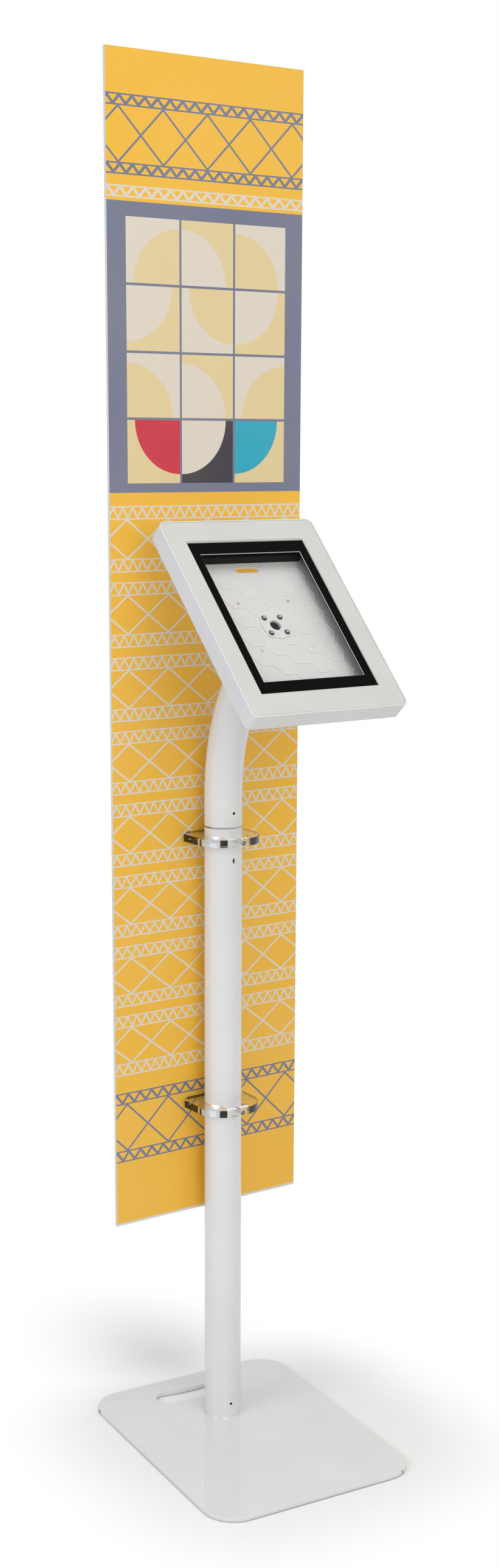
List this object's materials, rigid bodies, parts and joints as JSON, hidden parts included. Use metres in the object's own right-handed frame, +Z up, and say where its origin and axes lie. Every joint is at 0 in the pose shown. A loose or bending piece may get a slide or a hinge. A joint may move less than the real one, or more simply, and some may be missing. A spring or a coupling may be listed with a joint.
{
  "type": "tablet banner floor stand",
  "caption": "Free-standing tablet holder: flat base plate, bent round pole, tilted white case with a framed window, and a tall printed board clamped behind the pole.",
  "frame": {"origin": "on the floor, under the centre pad, on the pole's axis", "axes": "+Z up, -Y to the front where the user stands, +X to the right as the user sees the screen"},
  "size_m": [0.3255, 0.4073, 1.7845],
  "materials": {
    "powder_coat": "satin",
    "case_plastic": "satin",
    "mask_plastic": "matte",
    "foam": "matte",
    "feet": "matte",
    "turned_aluminium": "turned",
    "bright_steel": "bright",
    "dark_steel": "black oxide",
    "clear_acrylic": "clear",
    "tape": "matte",
    "board_foam": "matte",
    "print_film": "satin"
  },
  "bodies": {
    "base": {"base_plate": "powder_coat", "foot_pad_1": "feet", "foot_pad_2": "feet", "foot_pad_3": "feet", "foot_pad_4": "feet", "foot_pad_5": "feet", "pole_spigot": "turned_aluminium", "spigot_screw_1": "dark_steel", "spigot_screw_2": "dark_steel", "spigot_screw_3": "dark_steel"},
    "pole": {"lower_pole": "powder_coat", "foot_set_screw": "dark_steel", "coupling_sleeve": "bright_steel", "coupling_screw": "dark_steel"},
    "head": {"upper_pole": "powder_coat", "neck_set_screw": "dark_steel", "neck_plug": "bright_steel", "rear_case": "case_plastic", "mount_screw_1": "dark_steel", "mount_screw_2": "dark_steel", "mount_screw_3": "dark_steel", "mount_screw_4": "dark_steel", "cover_screw_1": "dark_steel", "cover_screw_2": "dark_steel", "cover_screw_3": "dark_steel", "cover_screw_4": "dark_steel", "foam_top": "foam", "foam_bottom": "foam"},
    "cover": {"front_cover": "case_plastic", "cover_nut_1": "bright_steel", "cover_nut_2": "bright_steel", "cover_nut_3": "bright_steel", "cover_nut_4": "bright_steel", "tablet_mask": "mask_plastic"},
    "banner": {"upper_clamp": "clear_acrylic", "upper_clamp_screw": "bright_steel", "upper_tape": "tape", "lower_clamp": "clear_acrylic", "lower_clamp_screw": "bright_steel", "lower_tape": "tape", "banner_panel": "board_foam", "banner_print": "print_film"}
  },
  "joints": [
    {"name": "pole_swivel", "type": "hinge", "parent": "base", "child": "pole", "pos_m": [0, 0, 0.0278], "axis": [0, 0, 1], "continuous": true},
    {"name": "head_swivel", "type": "hinge", "parent": "pole", "child": "head", "pos_m": [0, 0, 0.8571], "axis": [0, 0, 1], "range_deg": [-20, 20]},
    {"name": "cover_lift", "type": "slide", "parent": "head", "child": "cover", "axis": [0, -0.7193, 0.6947], "range_m": [0, 0.08]},
    {"name": "banner_slide", "type": "slide", "parent": "pole", "child": "banner", "axis": [0, 0, 1], "range_m": [-0.25, 0.008]}
  ]
}
